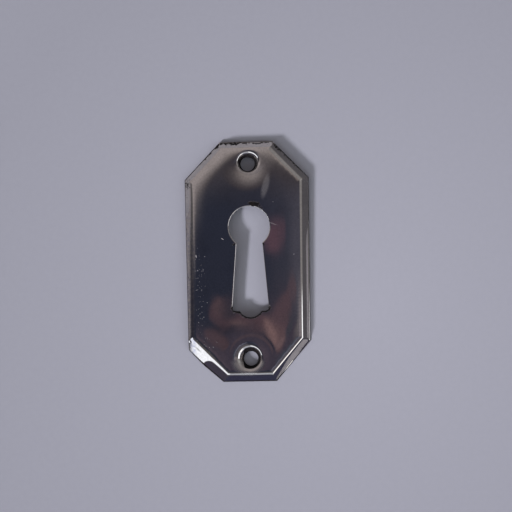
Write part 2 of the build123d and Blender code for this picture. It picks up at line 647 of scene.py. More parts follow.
class Blank:
    """A flat sheet mesh, gathered from loops and from points between them."""

    def __init__(self):
        self.points = np.empty((0, 2))
        self.quads = []

    def add(self, points):
        """Adds points and gives their numbers."""
        first = len(self.points)
        self.points = np.concatenate([self.points, points])
        return np.arange(first, len(self.points))

    def band(self, loops):
        """Rows of quads between loops that have the same number of points."""
        rows = [self.add(loop) for loop in loops]
        for near, far in zip(rows, rows[1:]):
            quads = np.column_stack([near, np.roll(near, -1), np.roll(far, -1), far])
            self.quads.extend(quads.tolist())
        return rows[0], rows[-1]


# Steps of the blank's bands: in from the rim, and out from the keyhole and from the screw holes
RING_STEPS = np.concatenate([[0, 0.05, 0.15, 0.3, 0.5, 0.7, 0.88], np.arange(1.0, 1.97, 0.07)]) * MM
EDGE_STEPS = np.array([0, 0.03, 0.06, 0.095, 0.14, 0.2, 0.27]) * MM
DIMPLE_STEPS = np.concatenate([[0, 0.03], np.arange(0.08, 1.3, 0.06)]) * MM
DIMPLE_SIDES = 96
# How far in from the rim the bend starts, up to where the loops follow the trimmed skirt
BEND_START = 1.0 * MM
# Points in the open face: how far apart, how far from a band, and how close two may be
FILL_STEP = 0.42 * MM
FILL_MARGIN = 0.2 * MM
FILL_CLOSENESS = 1e-9
# Depth of the rounding along the keyhole, as a share of its width
ROLL_DEPTH = 0.5


def screw_places(sizes):
    """Middles of the two screw holes."""
    return [np.array([sizes.screw_right, end * sizes.screw_spacing / 2]) for end in (1, -1)]


def dimple_run(points, sizes):
    """How far points lie from the lips of the screw holes, shared out where a dimple leans or splays."""
    wall_run = (sizes.height - sizes.dish - sizes.dimple_lip) / math.tan(sizes.dimple_slope)
    mouths = ((np.array(sizes.lean), 0.0), (np.array(sizes.lean_foot), sizes.splay))
    runs = []
    for place, (lean, splay) in zip(screw_places(sizes), mouths):
        gap = np.linalg.norm(points - place, axis=1)
        wider = (points - place) @ lean / gap + splay
        runs.append((gap - sizes.screw_radius) * wall_run / (wall_run + wider))
    return np.minimum(*runs)


def fill_points(sizes, outline, holes):
    """A staggered grid of points in the open face, clear of the bands."""
    rows = np.arange(-sizes.length / 2, sizes.length / 2, FILL_STEP * math.sqrt(3) / 2)
    columns = np.arange(-sizes.width / 2, sizes.width / 2, FILL_STEP)
    grid = []
    for row, y in enumerate(rows):
        grid.append(np.column_stack([columns + FILL_STEP / 2 * (row % 2), np.full(len(columns), y)]))
    grid = np.concatenate(grid)
    clear = outline.distance(grid) > RING_STEPS[-1] + FILL_MARGIN
    for loop in holes:
        clear &= ~inside_loop(grid, loop) & (distance_to_loop(grid, loop) > FILL_MARGIN)
    return grid[clear]


def make_blank(sizes):
    """The pierced blank: its flat mesh, and the loops along its cut edges."""
    outline = Outline(sizes)
    blank = Blank()
    keyhole = keyhole_loop(sizes)
    outward = loop_normals(keyhole)
    turn = np.linspace(0, 2 * math.pi, DIMPLE_SIDES, endpoint=False)
    ring = np.column_stack([np.cos(turn), np.sin(turn)])

    rim, face_edge = blank.band(outline.loops(RING_STEPS, BEND_START))
    cut, keyhole_edge = blank.band([keyhole + step * outward for step in EDGE_STEPS])
    lips, mouths = [], []
    for place in screw_places(sizes):
        lip, mouth = blank.band([place + (sizes.screw_radius + step) * ring for step in DIMPLE_STEPS])
        lips.append(lip)
        mouths.append(mouth)

    holes = [keyhole_edge, *mouths]
    hole_loops = [blank.points[hole] for hole in holes]
    inner = blank.add(fill_points(sizes, outline, hole_loops))
    triangles = fill_face(blank.points, [face_edge, *holes], inner, hole_loops)
    return blank, triangles, {"rim": rim, "keyhole": cut, "lips": lips, "outline": outline}


def fill_face(points, loops, inner, hole_loops):
    """Triangles between the bands, with the holes left open."""
    used = np.concatenate([*loops, inner])
    order = {place: number for number, place in enumerate(used)}
    edges = []
    for loop in loops:
        numbers = [order[place] for place in loop]
        edges.extend(zip(numbers, numbers[1:] + numbers[:1]))
    flat = [Vector(point) for point in points[used]]
    faces, sources = delaunay_2d_cdt(flat, edges, [], 1, FILL_CLOSENESS)[2:4]
    triangles = np.array([[sources[corner][0] for corner in face] for face in faces])
    middles = points[used][triangles].mean(axis=1)
    keep = np.ones(len(triangles), bool)
    for loop in hole_loops:
        keep &= ~inside_loop(middles, loop)
    return used[triangles[keep]]


def facing_up(points, faces):
    """The same faces, turned so that they run counter-clockwise."""
    turned = []
    for face in faces:
        x, y = points[face].T
        area = np.dot(x, np.roll(y, -1)) - np.dot(y, np.roll(x, -1))
        turned.append(list(face) if area > 0 else list(face)[::-1])
    return turned


def store(mesh, name, values):
    """Keeps one number for each point of a mesh."""
    attribute = mesh.attributes.new(name, "FLOAT", "POINT")
    attribute.data.foreach_set("value", np.asarray(values, np.float32))


def blank_mesh(sizes):
    """The flat blank as a mesh that knows how far each point is from its edges."""
    blank, triangles, edges = make_blank(sizes)
    points = blank.points
    faces = facing_up(points, blank.quads + triangles.tolist())
    mesh = bpy.data.meshes.new("blank")
    mesh.from_pydata(np.column_stack([points, np.zeros(len(points))]).tolist(), [], faces)
    to_screws = [np.linalg.norm(points - place, axis=1) for place in screw_places(sizes)]
    store(mesh, "rise", rise(points, sizes) - knock(points, sizes))
    store(mesh, "rim_distance", edges["outline"].to_sides(points).min(axis=1))
    store(mesh, "edge_distance", np.maximum(edges["outline"].distance(points), 0))
    store(mesh, "soft_distance", edges["outline"].distance(points, sizes.soft_mitre))
    store(mesh, "screw_distance", np.minimum(*to_screws))
    store(mesh, "screw_run", dimple_run(points, sizes))
    store(mesh, "keyhole_distance", distance_to_loop(points, points[edges["keyhole"]]))
    return mesh, edges


# Pressing the blank

PRESS_LENGTHS = (
    "height", "bend", "bulge", "crown", "crown_reach", "soft_corner", "soft_reach", "waviness",
    "screw_radius", "dimple_lip", "dimple_bend", "dish", "dish_reach",
)
PRESS_ANGLES = ("skirt_slope", "dimple_slope")

# Shares of a size that the lower and the upper dimple have
DISH_REACH_SHARES = (0.8, 0.92)
DISH_SHARES = (0.75, 1.15)
DIMPLE_BEND_SHARES = (0.88, 0.7)
# The way from the middle of the face to its upper left corner
UPPER_LEFT = (-0.5, 0.866, 0)
# Share of the crown that is left at the foot, and change of the crown at the upper right
FOOT_CROWN = 0.4
RIGHT_CROWN = -0.32


def press_tree():
    """Geometry Nodes that lift a flat blank to the form of the die."""
    sockets = {name: "Float" for name in PRESS_LENGTHS + PRESS_ANGLES}
    maker, size = geometry_tree("Press plate", {**sockets, "material": "Material"})
    position = maker.position()
    part = maker.parts(position)

    # Skirt: a slope up from the rim that bulges a little
    slope = maker.math("TANGENT", size["skirt_slope"])
    straight_skirt = maker.times(maker.attribute("edge_distance"), slope)
    half_turn = maker.times(maker.math("DIVIDE", straight_skirt, size["height"]), math.pi)
    swell = maker.math("SINE", maker.math("MINIMUM", half_turn, math.pi))
    skirt = maker.times_plus(swell, size["bulge"], straight_skirt)

    # Face: slightly crowned, most of all at the upper left corner, and with slow waves
    at_corner = maker.ramp(maker.vector("DOT_PRODUCT", position, UPPER_LEFT), 9 * MM, 21 * MM)
    crown = maker.times(size["crown"], maker.ramp(part["Y"], -13 * MM, 3 * MM, FOOT_CROWN, 1.0))
    crown = maker.times_plus(at_corner, size["soft_corner"], crown)
    right = maker.ramp(part["X"], 2 * MM, 8 * MM)
    flatter = maker.times(right, maker.ramp(part["Y"], 4 * MM, 14 * MM, 0.0, RIGHT_CROWN))
    crown = maker.times_plus(crown, flatter, crown)
    reach = maker.times_plus(at_corner, size["soft_reach"], size["crown_reach"])
    sloped = maker.ramp(maker.attribute("soft_distance"), 0.0, reach, 1.0, 0.0, smooth=False)
    drop = maker.times(crown, maker.math("POWER", sloped, 2.0))
    waves = maker.minus(maker.noise(position, 95.0, 1.0, 0.4, 3.0), 0.5)
    face = maker.times_plus(waves, size["waviness"], maker.minus(size["height"], drop))

    # Dish: the face sinks a little round each dimple
    upper = maker.math("GREATER_THAN", part["Y"], 0.0)

    def at_end(name, shares):
        return maker.times(size[name], maker.ramp(upper, 0.0, 1.0, *shares))

    dish_reach = at_end("dish_reach", DISH_REACH_SHARES)
    screw = maker.attribute("screw_distance")
    dished = maker.ramp(screw, size["screw_radius"], dish_reach, 1.0, 0.0, smooth=False)
    sink = maker.times(at_end("dish", DISH_SHARES), maker.math("POWER", dished, 2.0))
    face = maker.minus(face, sink)

    # Dimple: a cone up from the lip of the hole
    steepness = maker.math("TANGENT", size["dimple_slope"])
    cone = maker.times_plus(maker.attribute("screw_run"), steepness, size["dimple_lip"])

    bent = maker.math("SMOOTH_MIN", skirt, face, size["bend"])
    lift = maker.math("SMOOTH_MIN", bent, cone, at_end("dimple_bend", DIMPLE_BEND_SHARES))
    raised = maker.plus(maker.larger(lift, 0.0), maker.attribute("rise"))
    offset = maker.node("ShaderNodeCombineXYZ", {"Z": raised}).outputs[0]
    pressed = maker.node("GeometryNodeSetPosition", {"Geometry": size["Geometry"], "Offset": offset})
    return finish_tree(maker, pressed.outputs[0], size["material"])


def apply_tree(piece, tree, values):
    """Runs a geometry tree on an object and gives back the result as a plain mesh."""
    modifier = piece.modifiers.new(tree.name, "NODES")
    modifier.node_group = tree
    for item in tree.interface.items_tree:
        if item.in_out == "INPUT" and item.name in values:
            modifier[item.identifier] = values[item.name]
    bpy.context.view_layer.update()
    evaluated = piece.evaluated_get(bpy.context.evaluated_depsgraph_get())
    mesh = bpy.data.meshes.new_from_object(evaluated)
    piece.modifiers.remove(modifier)
    return mesh


def read(mesh, name):
    """One number for each point of a mesh."""
    values = np.empty(len(mesh.vertices), np.float32)
    mesh.attributes[name].data.foreach_get("value", values)
    return values


def wall(upper, lower):
    """Quads from one loop down to another."""
    return np.column_stack([upper, lower, np.roll(lower, -1), np.roll(upper, -1)]).tolist()


def thicken(pressed, edges, sizes):
    """A closed sheet from its pressed front: a back one thickness behind, and walls at the cut edges."""
    count = len(pressed.vertices)
    front = np.empty(count * 3)
    pressed.vertices.foreach_get("co", front)
    front = front.reshape(-1, 3)
    normals = np.empty(count * 3, np.float32)
    pressed.vertex_normals.foreach_get("vector", normals)
    normals = normals.reshape(-1, 3).astype(float)

    back = front - sizes.sheet * normals
    lips = np.concatenate(edges["lips"])
    back[lips] = front[lips]
    back[lips, 2] -= sizes.sheet / normals[lips, 2]
    cut = edges["keyhole"]
    back[cut, :2] = front[cut, :2]
    back[edges["rim"], 2] = 0
    back[:, 2] = np.maximum(back[:, 2], np.maximum(read(pressed, "rise"), 0))

    gap = read(pressed, "keyhole_distance")
    rolled = np.clip(1 - gap / sizes.edge_roll, 0, 1)
    front[:, 2] -= ROLL_DEPTH * sizes.edge_roll * rolled**2

    faces = [list(face.vertices) for face in pressed.polygons]
    faces += [[corner + count for corner in reversed(face)] for face in faces]
    backs = len(faces) // 2
    for loop in (edges["rim"], edges["keyhole"], *edges["lips"]):
        faces += wall(loop, loop + count)
    points = np.concatenate([front, back])
    mesh = bpy.data.meshes.new("plate_sheet")
    mesh.from_pydata(points.tolist(), [], faces)
    for name in ("rim_distance", "screw_distance", "screw_run", "keyhole_distance"):
        store(mesh, name, np.tile(read(pressed, name), 2))
    slots = np.zeros(len(faces), np.int32)
    slots[backs:2 * backs] = 1
    mesh.polygons.foreach_set("material_index", slots)
    return mesh


def shade(mesh, sharp_degrees=38):
    """Smooth faces, with sharp edges where the surface really turns."""
    mesh.polygons.foreach_set("use_smooth", np.ones(len(mesh.polygons), bool))
    mesh.set_sharp_from_angle(angle=math.radians(sharp_degrees))
    mesh.validate()
    mesh.update()


class PressPlate(bpy.types.Operator):
    """Press the plate from a flat pierced blank"""

    bl_idname = "escutcheon.press_plate"
    bl_label = "Press plate"

    def execute(self, context):
        sizes, finish = context.scene.escutcheon_sizes, context.scene.escutcheon_finish
        blank, edges = blank_mesh(sizes)
        piece = new_object("plate_sheet", blank)
        values = {name: getattr(sizes, name) for name in PRESS_LENGTHS + PRESS_ANGLES}
        values["material"] = plating_material(finish)
        pressed = apply_tree(piece, press_tree(), values)
        sheet = thicken(pressed, edges, sizes)
        sheet.materials.append(values["material"])
        sheet.materials.append(back_material(finish))
        shade(sheet)
        piece.data = sheet
        declare(piece, PLATE_NODE)
        return {"FINISHED"}


# Flakes of oxide along the worn rim


def scale_tree():
    """Geometry Nodes that scatter small flat flakes where the plating is lost."""
    sockets = {"density": "Float", "flake": "Float", "band": "Float", "seed": "Int", "material": "Material"}
    maker, size = geometry_tree("Rim scale", sockets)
    position = maker.position()
    part = maker.parts(position)
    normal = maker.node("GeometryNodeInputNormal").outputs["Normal"]

    near = maker.ramp(maker.attribute("rim_distance"), 0.0, size["band"], 1.0, 0.0, smooth=False)
    upper = maker.ramp(part["Y"], 17 * MM, 24.3 * MM, 0.06, 1.0)
    clumps = maker.ramp(maker.noise(position, 900.0, 3.0, 0.6, 7.0), 0.46, 0.56)
    chance = maker.times(maker.times(near, upper), clumps)
    faces_up = maker.math("GREATER_THAN", maker.parts(normal)["Z"], 0.3)
    clear = maker.math("GREATER_THAN", part["Z"], size["flake"])
    feeds = {
        "Mesh": size["Geometry"],
        "Selection": maker.times(faces_up, clear),
        "Density": maker.times(chance, size["density"]),
        "Seed": size["seed"],
    }
    strewn = maker.node("GeometryNodeDistributePointsOnFaces", feeds, distribute_method="RANDOM").outputs
    ball = maker.node("GeometryNodeMeshIcoSphere", {"Radius": 1.0, "Subdivisions": 2}).outputs["Mesh"]
    feeds = {"Geometry": ball, "Offset": maker.shake(position, 1.3)}
    flake = maker.node("GeometryNodeSetPosition", feeds).outputs[0]

    def random(low, high, seed):
        feeds = {"Min_001": low, "Max_001": high, "Seed": seed}
        made = maker.node("FunctionNodeRandomValue", feeds, data_type="FLOAT")
        return maker.find(made.outputs, "Value_001")

    wide = maker.times(random(0.4, 1.0, 1), size["flake"])
    narrow = maker.times(wide, random(0.5, 1.0, 2))
    thick = maker.times(wide, 0.3)
    scale = maker.node("ShaderNodeCombineXYZ", {"X": wide, "Y": narrow, "Z": thick}).outputs[0]
    spin = maker.node("ShaderNodeCombineXYZ", {"Z": random(0.0, 2 * math.pi, 3)}).outputs[0]
    feeds = {
        "Points": strewn["Points"],
        "Instance": flake,
        "Rotation": strewn["Rotation"],
        "Scale": scale,
    }
    laid = maker.node("GeometryNodeInstanceOnPoints", feeds).outputs[0]
    turned = maker.node("GeometryNodeRotateInstances", {"Instances": laid, "Rotation": spin}).outputs[0]
    return finish_tree(maker, turned, size["material"])


class ScatterScale(bpy.types.Operator):
    """Scatter flakes of oxide along the worn rim"""

    bl_idname = "escutcheon.scatter_scale"
    bl_label = "Scatter rim scale"

    def execute(self, context):
        finish = context.scene.escutcheon_finish
        sheet = bpy.data.objects.get("plate_sheet")
        if sheet is None:
            raise RuntimeError("the plate must be pressed before its rim is worn")
        piece = new_object("rim_scale", sheet.data.copy())
        values = {
            "density": finish.flake_density,
            "flake": finish.flake_size,
            "band": finish.flake_band,
            "seed": finish.seed,
            "material": oxide_material(finish),
        }
        piece.data = apply_tree(piece, scale_tree(), values)
        declare(piece)
        return {"FINISHED"}


# Burr that the punch left along the keyhole

# Between the points that the bead follows
BURR_STEP = 0.05 * MM
# How far the burr reaches up from the bottom of the keyhole, in depths of the lobe
BURR_REACH = 2.2


def burr_tree():
    """Geometry Nodes that lay a broken, ragged bead along a path."""
    sockets = {"radius": "Float", "jitter": "Float", "foot": "Float", "material": "Material"}
    maker, size = geometry_tree("Keyhole burr", sockets)
    position = maker.position()
    below = maker.math("LESS_THAN", maker.parts(position)["Y"], size["foot"])
    broken = maker.math("GREATER_THAN", maker.noise(position, 520.0, 2.0, 0.6, 4.0), 0.44)
    gone = maker.math("LESS_THAN", maker.times(below, broken), 0.5)
    feeds = {"Geometry": size["Geometry"], "Selection": gone}
    path = maker.node("GeometryNodeDeleteGeometry", feeds, domain="EDGE").outputs[0]
    curve = maker.node("GeometryNodeMeshToCurve", {"Mesh": path}).outputs["Curve"]
    feeds = {"Curve": curve, "Length": BURR_STEP}
    curve = maker.node("GeometryNodeResampleCurve", feeds, mode="LENGTH").outputs[0]
    feeds = {0: maker.shake(position, 5200.0), "Scale": size["jitter"]}
    moved = maker.node("ShaderNodeVectorMath", feeds, operation="SCALE").outputs[0]
    curve = maker.node("GeometryNodeSetPosition", {"Geometry": curve, "Offset": moved}).outputs[0]
    thick = maker.ramp(maker.noise(position, 2400.0, 2.0, 0.6, 8.0), 0.3, 0.7, 0.5, 1.5)
    thick = maker.times(thick, size["radius"])
    curve = maker.node("GeometryNodeSetCurveRadius", {"Curve": curve, "Radius": thick}).outputs[0]
    ring = maker.node("GeometryNodeCurvePrimitiveCircle", {"Resolution": 6, "Radius": 1.0}).outputs["Curve"]
    thickness = maker.node("GeometryNodeInputRadius").outputs["Radius"]
    feeds = {"Curve": curve, "Profile Curve": ring, "Scale": thickness, "Fill Caps": True}
    bead = maker.node("GeometryNodeCurveToMesh", feeds).outputs["Mesh"]
    return finish_tree(maker, bead, size["material"])


class LayBurr(bpy.types.Operator):
    """Lay the burr that the punch left along the foot of the keyhole"""

    bl_idname = "escutcheon.lay_burr"
    bl_label = "Lay keyhole burr"

    def execute(self, context):
        sizes, finish = context.scene.escutcheon_sizes, context.scene.escutcheon_finish
        loop = keyhole_loop(sizes)
        count = len(loop)
        height = sizes.height - ROLL_DEPTH * sizes.edge_roll + rise(loop, sizes)
        points = np.column_stack([loop, height])
        path = bpy.data.meshes.new("burr_path")
        path.from_pydata(points.tolist(), [(place, (place + 1) % count) for place in range(count)], [])
        piece = new_object("keyhole_burr", path)
        bottom = sizes.head_centre + sizes.head_radius - sizes.keyhole_length
        values = {
            "radius": finish.burr_radius,
            "jitter": finish.burr_jitter,
            "foot": bottom + BURR_REACH * sizes.lobe_depth,
            "material": oxide_material(finish),
        }
        piece.data = apply_tree(piece, burr_tree(), values)
        shade(piece.data)
        declare(piece)
        return {"FINISHED"}


# Materials


def new_material(name):
    """A material's tree maker, its main shader and the object's own coordinates."""
    material = bpy.data.materials.new(name)
    material.use_nodes = True
    maker = TreeMaker(material.node_tree)
    shader = material.node_tree.nodes["Principled BSDF"]
    place = maker.node("ShaderNodeTexCoord").outputs["Object"]
    return material, maker, shader, place


def roughen(maker, shader, height, strength):
    """Gives a shader a fine relief."""
    feeds = {"Strength": strength, "Distance": 0.02 * MM, "Height": height}
    maker.feed(shader.inputs["Normal"], maker.node("ShaderNodeBump", feeds).outputs["Normal"])


# Ragged spots where the plating is lost, and two dark marks beside the keyhole's neck: middle and half
# sizes in millimetres, turn in degrees, strength
BLOTS = (
    (-5.95, 24.3, 0.4, 0.75, 0, 0.75),
    (-7.45, 22.9, 0.4, 0.5, 45, 0.8),
    (-8.6, 21.65, 0.35, 0.4, 0, 0.7),
    (-12.3, 16.2, 0.9, 1.4, 0, 0.4),
    (6.6, 23.4, 1.3, 0.35, -45, 0.55),
    (9.3, 20.7, 1.6, 0.35, -45, 0.45),
    (1.6, 11.75, 1.45, 0.6, -8, 1.25),
    (3.0, 10.97, 0.75, 0.14, -33, 0.8),
    (-2.75, 3.4, 0.4, 0.25, 20, 0.8),
    (3.3, 3.4, 0.35, 0.25, -20, 0.8),
)
# Thin films of dirt and scuffs on the face, in the same terms
FILMS = (
    (4.0, 15.45, 0.75, 2.7, -14.6, 0.11),
    (5.4, 7.55, 1.0, 0.13, -21, 0.16),
    (-5.15, 4.6, 0.34, 0.11, -35, 0.5),
    (-10.7, 1.1, 0.11, 0.36, 8, 0.6),
)


class PlatingWear:
    """Where the plating is worn, and where shade is painted along the rim's edge and in the dimples: masks
    that go from 0, where it is sound, to 1.
    """

    def __init__(self, maker, place, seed):
        self.maker = maker
        self.place = place
        self.seed = seed
        self.part = maker.parts(place)
        self.rim = self.reading("rim_distance")
        self.keyhole = self.reading("keyhole_distance")
        self.run = self.reading("screw_run")
        self.grain = maker.noise(place, 2600.0, 4.0, 0.65, seed)

    def reading(self, name):
        """A number that each point of the mesh holds."""
        return self.maker.node("ShaderNodeAttribute", attribute_name=name).outputs["Fac"]

    def spot(self, x, y, across, along, turn):
        """Distance from the middle of a spot, which is 1 at its edge."""
        return self.maker.ellipse(self.place, (x * MM, y * MM), (across * MM, along * MM), turn)

    def rim_lost_and_edge_shade(self):
        """Ragged patches along the upper rim, single spots, and a thin dark line along the other sides:
        oxide on the cut edge, with painted contact shade where the rim meets the floor.
        """
        maker, part = self.maker, self.part
        ragged = maker.times_plus(maker.noise(self.place, 1700.0, 2.0, 0.6, self.seed), 2.2, -1.5)
        ragged = maker.times_plus(self.grain, 0.8, ragged)
        ragged = maker.plus(ragged, maker.ramp(part["X"], -2 * MM, 3 * MM, 0.0, -0.16))
        from_band = maker.math("ABSOLUTE", maker.minus(self.rim, 0.32 * MM))
        worn = maker.times_plus(from_band, -0.8 / MM, ragged)
        top = maker.ramp(part["Y"], 23.2 * MM, 24.4 * MM)
        dark_marks = maker.times(maker.ramp(worn, -0.16, -0.06), top)

        specked = maker.times_plus(maker.noise(self.place, 3300.0, 2.0, 0.6, self.seed), 2.6, -1.3)
        for *spot, strength in BLOTS:
            near = maker.ramp(self.spot(*spot), 0.0, 2.0, 1.0, -0.8)
            torn = maker.times_plus(near, strength, specked)
            dark_marks = maker.larger(dark_marks, maker.ramp(torn, 0.36, 0.46))

        # The thin line along the other sides: oxide on the cut edge, and painted contact shade along the
        # floor
        thin = maker.times_plus(maker.ramp(part["Y"], -22 * MM, -24 * MM), 0.1 * MM, 0.05 * MM)
        thin = maker.times_plus(maker.ramp(part["Y"], 15 * MM, 19 * MM), 0.08 * MM, thin)
        thin = maker.times_plus(self.grain, 0.09 * MM, thin)
        line = maker.times(maker.math("LESS_THAN", self.rim, thin), maker.minus(1.0, top))
        return maker.larger(dark_marks, line)

    def foot_dark_edge(self):
        """A dark ragged band along the keyhole's edge at its foot."""
        maker = self.maker
        foot = maker.ramp(self.part["Y"], -9.2 * MM, -10.2 * MM)
        torn = maker.times_plus(self.keyhole, -1.15 / MM, maker.times(self.grain, 1.5))
        return maker.times(maker.ramp(torn, 0.36, 0.5), foot)

    def dimple_shade_and_dirt(self):
        """Painted shade on the dimples' walls, a dark ring where shade falls in the recess, mixed with
        dirt; left off on the left of the lower one, where its wall catches the light.
        """
        maker, part = self.maker, self.part
        mouth = maker.ramp(part["Y"], -1 * MM, 1 * MM, 0.54 * MM, 0.38 * MM)
        lower = maker.ramp(part["Y"], 1 * MM, -1 * MM)
        unshaded_left = maker.times(maker.ramp(part["X"], -1.0 * MM, -1.4 * MM), lower)
        mouth = maker.times_plus(unshaded_left, -0.46 * MM, mouth)
        mouth = maker.times_plus(self.grain, 0.16 * MM, maker.minus(mouth, 0.08 * MM))
        # Painted shade: the dark ring on the dimples' walls
        return maker.ramp(maker.minus(self.run, mouth), 0.05 * MM, -0.05 * MM)

    def pits(self):
        """Pits, closest together down the left of the face and above the lower left corner."""
        maker, part = self.maker, self.part
        feeds = {"Vector": self.place, "Scale": 2700.0}
        cells = maker.node("ShaderNodeTexVoronoi", feeds, voronoi_dimensions="2D", feature="F1").outputs
        chance = maker.node("ShaderNodeSeparateColor", {"Color": cells["Color"]}).outputs
        left = maker.ramp(part["X"], -7.2 * MM, -10.2 * MM)
        crowded = maker.times(left, maker.ramp(part["Y"], 9 * MM, -4 * MM))
        flat = maker.vector("MULTIPLY", self.place, (1, 1, 0))
        from_corner = maker.vector("DISTANCE", flat, (-8.8 * MM, -17.4 * MM, 0))
        crowded = maker.larger(crowded, maker.ramp(from_corner, 3.0 * MM, 1.0 * MM))
        crowded = maker.times(crowded, maker.noise(self.place, 900.0, 3.0, 0.6, self.seed))
        spared = maker.ramp(crowded, 0.1, 0.6, 0.9993, 0.77, smooth=False)
        picked = maker.math("GREATER_THAN", chance["Red"], spared)
        size = maker.times_plus(maker.times(chance["Green"], chance["Green"]), 0.15, 0.06)
        ragged = maker.times_plus(maker.noise(self.place, 14000.0, 1.0), 0.24, -0.12)
        ragged = maker.plus(cells["Distance"], ragged)
        pits = maker.times(picked, maker.ramp(ragged, size, maker.times(size, 0.4)))
        return maker.times(pits, maker.ramp(self.rim, 1.6 * MM, 2.1 * MM))

    def scratches(self, turn, amount, seed):
        """Fine scratches that all run one way."""
        maker = self.maker
        drawn = maker.vector("MULTIPLY", maker.turned(self.place, turn), (5200.0, 110.0, 0.0))
        return maker.ramp(maker.noise(drawn, 1.0, 1.0, 0.4, seed), amount, amount + 0.04)

    def stain(self):
        """A dull stain on the left of the skirt."""
        maker, part = self.maker, self.part
        left = maker.ramp(part["X"], -10.8 * MM, -11.4 * MM)
        left = maker.times(left, maker.ramp(part["Y"], 20 * MM, 0.0))
        blotches = maker.noise(self.place, 1500.0, 3.0, 0.65, 3.0)
        return maker.times(left, maker.ramp(blotches, 0.36, 0.64))

    def film(self):
        """Thin films of dirt and scuffs on the face."""
        film = 0.0
        for *spot, strength in FILMS:
            film = self.maker.larger(film, self.maker.ramp(self.spot(*spot), 1.2, 0.5, 0.0, strength))
        return film

    def rubbed(self):
        """Dull below each screw hole, where the screw's head rubbed."""
        maker, along = self.maker, self.part["Y"]
        screw = maker.times(maker.math("SIGN", along), SCREW_SPACING / 2)
        below = maker.ramp(maker.minus(along, screw), 0.2 * MM, -1.2 * MM)
        return maker.times(below, maker.ramp(self.run, 2.2 * MM, 0.9 * MM))


def plating_material(finish):
    """Old bright plating with lost patches along the rim, pits with a pale tone that also stands in for
    their glints, and fine scratches; the dark oxide colour is also painted as shade along the rim's edge
    and on the dimples' walls.
    """
    material, maker, shader, place = new_material("worn_plating")
    wear = PlatingWear(maker, place, finish.seed)
    dark_marks = maker.larger(maker.larger(wear.rim_lost_and_edge_shade(), wear.foot_dark_edge()), wear.dimple_shade_and_dirt())
    # Share of dark colour: lost plating, a dark band at the keyhole's foot, and painted shade along the
    # rim's edge and in the dimples
    gone = maker.ramp(dark_marks, 0.0, 0.4)
    pits = wear.pits()
    lines = maker.larger(wear.scratches(12, 0.76, 1.0), wear.scratches(-38, 0.77, 4.0))

    # Colour: tarnished in places, and dark oxide where the plating is lost, also painted as shade along the
    # rim's edge and in the dimples
    tarnish = maker.ramp(maker.noise(place, 210.0, 3.0, 0.6, 9.0), 0.45, 0.8, 0.0, 0.6)
    clean = maker.mix(tarnish, finish.plating, darker(finish.plating, 0.78))
    clean = maker.mix(wear.stain(), clean, finish.stain)
    mottle = maker.ramp(wear.grain, 0.34, 0.62, 0.9, 1.02)
    clean = maker.vector("MULTIPLY", clean, mottle)
    # Pits: pale corrosion, and a painted highlight standing in for their glints
    clean = maker.mix(pits, clean, finish.pit_tone_and_painted_glint)
    rust = maker.mix(maker.ramp(wear.grain, 0.5, 0.75), finish.oxide, finish.rust)
    maker.feed(shader.inputs["Base Color"], maker.mix(gone, clean, rust))
    maker.feed(shader.inputs["Specular IOR Level"], maker.blend(gone, 0.5, 0.1))
    dull = maker.larger(gone, maker.times_plus(pits, 0.6, wear.film()))
    maker.feed(shader.inputs["Metallic"], maker.minus(1.0, dull))

    # Roughness: smudges and scratches, duller pits, and rough oxide, also where shade is painted
    smudge = maker.ramp(maker.noise(place, 150.0, 3.0, 0.55, 5.0), 0.42, 0.75, 0.0, 0.035)
    rough = maker.times_plus(lines, 0.05, maker.plus(smudge, finish.roughness))
    rough = maker.blend(pits, rough, 0.55)
    rough = maker.blend(wear.rubbed(), rough, 0.36)
    maker.feed(shader.inputs["Roughness"], maker.blend(maker.ramp(dark_marks, 0.4, 1.0), rough, 0.85))

    relief = maker.times_plus(lines, -0.05, maker.times(pits, -2.0))
    relief = maker.times_plus(maker.times(dark_marks, wear.grain), 0.5, relief)
    roughen(maker, shader, relief, 0.5)
    return material


def back_material(finish):
    """Dull unpolished sheet behind the face, stained here and there."""
    material, maker, shader, place = new_material("dull_back")
    stain = maker.ramp(maker.noise(place, 260.0, 4.0, 0.6, 2.0), 0.4, 0.7)
    maker.feed(shader.inputs["Base Color"], maker.mix(stain, finish.back, darker(finish.back, 0.5)))
    shader.inputs["Metallic"].default_value = 1.0
    maker.feed(shader.inputs["Roughness"], maker.ramp(stain, 0.0, 1.0, 0.38, 0.6))
    roughen(maker, shader, maker.noise(place, 5200.0, 3.0, 0.6), 0.25)
    return material


def oxide_material(finish):
    """Dark crumbling oxide, browner where it is thick."""
    material, maker, shader, place = new_material("dark_oxide")
    grain = maker.noise(place, 6000.0, 3.0, 0.6, 1.0)
    rust = maker.mix(maker.ramp(grain, 0.45, 0.75), finish.oxide, finish.rust)
    maker.feed(shader.inputs["Base Color"], rust)
    shader.inputs["Roughness"].default_value = 0.85
    shader.inputs["Specular IOR Level"].default_value = 0.1
    roughen(maker, shader, grain, 0.4)
    return material


def floor_material(stage):
    """Plain matt floor with a faint mottle, and a painted pool of light that makes it a little lighter on
    the right.
    """
    material, maker, shader, place = new_material("floor")
    mottle = maker.noise(place, 900.0, 3.0, 0.6)
    tone = maker.mix(mottle, darker(stage.floor, 0.93), stage.floor)
    # Painted pool of light: the floor's colour is raised near a point right of and below the plate, and
    # lowered further off
    from_painted_light_middle = maker.vector("DISTANCE", place, (24 * MM, -10 * MM, 0))
    fall = maker.ramp(from_painted_light_middle, 0.0, 86 * MM, 1.09, 0.89, smooth=False)
    maker.feed(shader.inputs["Base Color"], maker.vector("MULTIPLY", tone, fall))
    shader.inputs["Roughness"].default_value = 0.9
    shader.inputs["Specular IOR Level"].default_value = 0.2
    return material


# Stage

